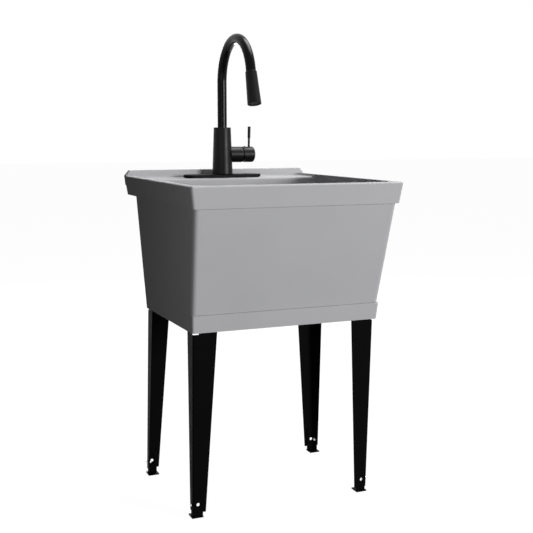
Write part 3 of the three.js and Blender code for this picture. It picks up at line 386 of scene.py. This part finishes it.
valve_rise = 58
valve_radius = 23.3
boss_root = 20  # inside the cone
boss_end = 61.5
cartridge_radius = 18.3
cartridge_floor = 32.7
boss_profile = [
    (0, boss_root),
    (valve_radius, boss_root),
    (valve_radius, boss_end),
    (cartridge_radius, boss_end),
    (cartridge_radius, cartridge_floor),
    (0, cartridge_floor),
]
valve_z = tap_foot + valve_rise
to_the_side = Matrix.Rotation(math.radians(90), 4, "Y")
along_valve = Matrix.Translation((0, tap_y, valve_z * MM)) @ to_the_side
boss = turned(boss_profile, along_valve)
settle("tap_body_valve_boss", boss, tap_black, "frame", "tap_body", edge_mm=1.4)

lever_out = 84  # from the tap's axis
lever_lean = 1.5  # degrees
lever_root = 15
lever_radius = 3.3
lever_thin_end = 48
grip_foot = 49.6
grip_radius = 4.4
grip_top = 83
lever_profile = [
    (0, lever_root),
    (lever_radius, lever_root),
    (lever_radius, lever_thin_end),
    (grip_radius, grip_foot),
    (grip_radius, grip_top),
    (0, grip_top),
]
leaning = Matrix.Rotation(math.radians(lever_lean), 4, "Y")
in_hub = Matrix.Translation((lever_out * MM, tap_y, valve_z * MM)) @ leaning
lever = turned(lever_profile, in_hub, steps=48)
settle("lever_turned", lever, tap_black, "handle", "handle_lever", 20, edge_mm=0.6)

for part in ["valve_bonnet", "handle_hub", "handle_plug"]:
    dress(part, tap_black, edge_mm=0.3)
for part in ["valve_cartridge", "valve_carrier"]:
    dress(part, white, edge_mm=0.2)
dress("valve_stem", brass, edge_mm=0.2)


# ---- tap: spout and spray ---------------------------------------------------------------------
# Bent brass tube, lacquered, that swivels in the body. The spray head docks on a plastic collar
# in its end and pulls down on a hose, and water leaves by rubber jets in its face.

tube_radius = 13.97
tube_bore = 12.6
spout_insert = 34  # of the tube, inside the body
arch_radius = 117.5
arch_height = 1132  # from the floor to the arch's centre
arch_tail = 13  # straight end after the arch
spray_lean = 15.8  # degrees
tube_black = sprayed_black("satin_black_lacquer_on_tube", "#050405", roughness=0.22, specular=0.08)
arch_centre = Vector((0, tap_y - arch_radius * MM, arch_height * MM))
arch_turn = math.radians(180 - spray_lean)
spray_tilt = math.radians(spray_lean)
spray_way = Vector((0, -math.sin(spray_tilt), -math.cos(spray_tilt)))


def bent_skin(form, radius):
    """One skin of the spout: a ring drawn up, bent round the arch and drawn on to the spray."""
    foot = Matrix.Translation((0, tap_y, (tap_top - spout_insert) * MM))
    circle = {"cap_ends": False, "segments": 64, "radius": radius * MM, "matrix": foot}
    ring = bmesh.ops.create_circle(form, **circle)["verts"]
    first = list({edge for vert in ring for edge in vert.link_edges})
    rise = bmesh.ops.extrude_edge_only(form, edges=first)["geom"]
    raised = [part for part in rise if isinstance(part, bmesh.types.BMVert)]
    up = (0, 0, (arch_height - tap_top + spout_insert) * MM)
    bmesh.ops.translate(form, vec=up, verts=raised)
    top = [part for part in rise if isinstance(part, bmesh.types.BMEdge)]
    bend = {"axis": (1, 0, 0), "cent": arch_centre, "angle": arch_turn, "steps": 96}
    bent = bmesh.ops.spin(form, geom=raised + top, **bend)["geom_last"]
    end = [part for part in bent if isinstance(part, bmesh.types.BMEdge)]
    tail = bmesh.ops.extrude_edge_only(form, edges=end)["geom"]
    mouth = [part for part in tail if isinstance(part, bmesh.types.BMVert)]
    bmesh.ops.translate(form, vec=spray_way * arch_tail * MM, verts=mouth)
    return first, [part for part in tail if isinstance(part, bmesh.types.BMEdge)]


spout = bmesh.new()
outer_foot, outer_mouth = bent_skin(spout, tube_radius)
inner_foot, inner_mouth = bent_skin(spout, tube_bore)
bmesh.ops.bridge_loops(spout, edges=outer_foot + inner_foot)
bmesh.ops.bridge_loops(spout, edges=outer_mouth + inner_mouth)
bmesh.ops.recalc_face_normals(spout, faces=spout.faces)
settle("spout_bent_tube", spout, tube_black, "spout", "spout_tube")

# Heights on the spray are measured from the spout's end.
sleeve_top = -0.45
sleeve_top_radius = 15.9
sleeve_foot = -92
sleeve_foot_radius = 19.3
collar_foot = -4.45
neck_hole_radius = 6.95
bore_top = -6.45
bore_top_radius = 13.94
bore_foot_radius = 17.1
sleeve_profile = [
    (bore_top_radius, bore_top),
    (bore_foot_radius, sleeve_foot),
    (sleeve_foot_radius, sleeve_foot),
    (sleeve_top_radius, sleeve_top),
    (neck_hole_radius, sleeve_top),
    (neck_hole_radius, collar_foot),
    (bore_top_radius, bore_top),
]
arch_arm = Vector((0, -math.cos(spray_tilt), math.sin(spray_tilt))) * arch_radius * MM
spray_top = arch_centre + arch_arm + spray_way * arch_tail * MM
at_spray = Matrix.Translation(spray_top) @ Matrix.Rotation(-spray_tilt, 4, "X")
sleeve = turned(sleeve_profile, at_spray)
settle("spray_turned_sleeve", sleeve, tap_black, "spray", "spray_shell", edge_mm=0.8)

face_radius = 16.17
face_foot = -89.5
face_thick = 3
wall_radius = 13.77  # inside the wall that rises round the face
wall_top = -75
groove_inner = 13.9
groove_middle = 14.4
groove_outer = 14.9
groove_depth = 0.7
face_profile = [
    (0, face_foot),
    (groove_inner, face_foot),
    (groove_middle, face_foot + groove_depth),
    (groove_outer, face_foot),
    (face_radius, face_foot),
    (face_radius, wall_top),
    (wall_radius, wall_top),
    (wall_radius, face_foot + face_thick),
    (0, face_foot + face_thick),
]
nozzle = turned(face_profile, Matrix.Identity(4))

ring_step = 6.09
jets_on_first_ring = 6
nub_drop = 0.6  # from the face to the middle of a nub
nub_size = {"segments": 16, "radius1": 0.75 * MM, "radius2": 1.15 * MM, "depth": 1.4 * MM}
nub_rim = 0.3
jet_depth = 0.9
for rank in (1, 2):
    jets = jets_on_first_ring * rank
    for turn in range(jets):
        around = Matrix.Rotation(math.radians(360 * turn / jets), 4, "Z")
        out = Matrix.Translation((ring_step * rank * MM, 0, (face_foot - nub_drop) * MM))
        nub = bmesh.ops.create_cone(nozzle, cap_ends=True, matrix=around @ out, **nub_size)
        low = min(vert.co.z for vert in nub["verts"]) + 0.01 * MM
        faces = {face for vert in nub["verts"] for face in vert.link_faces}
        tip = [face for face in faces if all(vert.co.z < low for vert in face.verts)]
        bmesh.ops.inset_individual(nozzle, faces=tip, thickness=nub_rim * MM)
        bmesh.ops.translate(nozzle, vec=(0, 0, jet_depth * MM), verts=tip[0].verts)
bmesh.ops.transform(nozzle, matrix=at_spray, verts=nozzle.verts)
settle("spray_rubber_nozzle", nozzle, rubber, "spray", "spray_face")

for part in ["spray_dock", "spray_neck"]:
    dress(part, white, edge_mm=0.2)


# ---- studio -----------------------------------------------------------------------------------
# A white paper floor and a white room, which light the object only a little. Broad softboxes in
# front to the right, above and behind give the light. The one at the left is weak, so the left
# side falls into shade.


def white_to_the_eye(tree):
    """1 for the rays that look at a thing directly, in a mirror or through glass, otherwise 0."""
    rays = add_node(tree, "ShaderNodeLightPath")
    seen = rays.outputs["Is Camera Ray"]
    for other in ["Is Glossy Ray", "Is Transmission Ray"]:
        either = add_node(tree, "ShaderNodeMath", {"operation": "MAXIMUM"})
        tree.links.new(seen, either.inputs[0])
        tree.links.new(rays.outputs[other], either.inputs[1])
        seen = either.outputs["Value"]
    return seen


floor_half = 30
floor_drop_mm = 0.5
floor_form = bmesh.new()
bmesh.ops.create_grid(floor_form, x_segments=1, y_segments=1, size=floor_half)
floor_mesh = bpy.data.meshes.new("floor")
floor_form.to_mesh(floor_mesh)
floor_form.free()
floor = bpy.data.objects.new("floor", floor_mesh)
floor.location.z = -floor_drop_mm * MM
bpy.context.scene.collection.objects.link(floor)

# To the eye the paper is mostly glow, and the rest of it keeps the object's faint shadow. To
# the light it is dark, so that it doesn't brighten the tub from below.
glow_share = 0.93
paper, paper_tree, paper_surface, _ = new_finish(
    "white_paper_floor", Roughness=0.9, Specular_IOR_Level=0.0
)
seen = white_to_the_eye(paper_tree)
settings = {"Color1": linear("#383838"), "Color2": linear("#f8f8f8")}
shade = add_node(paper_tree, "ShaderNodeMixRGB", settings, Fac=seen)
paper_tree.links.new(shade.outputs["Color"], paper_surface.inputs["Base Color"])
bleached = add_node(paper_tree, "ShaderNodeMath", {"operation": "MULTIPLY"})
paper_tree.links.new(seen, bleached.inputs[0])
bleached.inputs[1].default_value = glow_share
glow = add_node(paper_tree, "ShaderNodeEmission", {"Color": (1, 1, 1, 1), "Strength": 1.05})
blend = add_node(paper_tree, "ShaderNodeMixShader", Fac=bleached.outputs["Value"])
paper_tree.links.new(paper_surface.outputs["BSDF"], blend.inputs[1])
paper_tree.links.new(glow.outputs["Emission"], blend.inputs[2])
paper_output = paper_tree.nodes["Material Output"]
paper_tree.links.new(blend.outputs["Shader"], paper_output.inputs["Surface"])
floor_mesh.materials.append(paper)

world = bpy.data.worlds.new("white_room")
bpy.context.scene.world = world
world.use_nodes = True
room = world.node_tree
background = room.nodes["Background"]
background.inputs["Color"].default_value = (1, 1, 1, 1)
settings = {"To Min": 0.01, "To Max": 1.0}
level = add_node(room, "ShaderNodeMapRange", settings, Value=white_to_the_eye(room))
room.links.new(level.outputs["Result"], background.inputs["Strength"])


def soft_lamp(name, place, aim, size, power):
    """A square softbox that points at a place."""
    lamp = bpy.data.lights.new(name, "AREA")
    lamp.shape = "SQUARE"
    lamp.size = size
    lamp.energy = power
    stand = bpy.data.objects.new(name, lamp)
    stand.location = place
    stand.rotation_euler = (Vector(aim) - Vector(place)).to_track_quat("-Z", "Y").to_euler()
    stand.visible_camera = False
    bpy.context.scene.collection.objects.link(stand)


soft_lamp("front_lamp", (2.8, -4.3, 1.4), aim=(0, 0, 0.7), size=1.4, power=285)
soft_lamp("fill_lamp", (-1.1, -1.4, 0.74), aim=(-0.3, -0.2, 0.74), size=0.6, power=4.6)
soft_lamp("rear_lamp", (0.9, 3.6, 1.0), aim=(0, 0.2, 0.6), size=1.5, power=55)
soft_lamp("top_lamp", (0.9, 0.3, 3.1), aim=(0, 0.1, 0.8), size=1.6, power=104)


# ---- camera -----------------------------------------------------------------------------------
# A long lens a little above the rim, from the front and a little to the left.

pitch_down = 8.01  # degrees
turn_right = 22.49
camera = bpy.data.cameras.new("camera")
camera.lens = 63.63
camera.sensor_width = 36
eye = bpy.data.objects.new("camera", camera)
eye.location = (-0.9624, -2.4122, 0.983)
eye.rotation_euler = (math.radians(90 - pitch_down), 0, math.radians(-turn_right))
bpy.context.scene.collection.objects.link(eye)
bpy.context.scene.camera = eye
bpy.context.scene.view_settings.view_transform = "Standard"
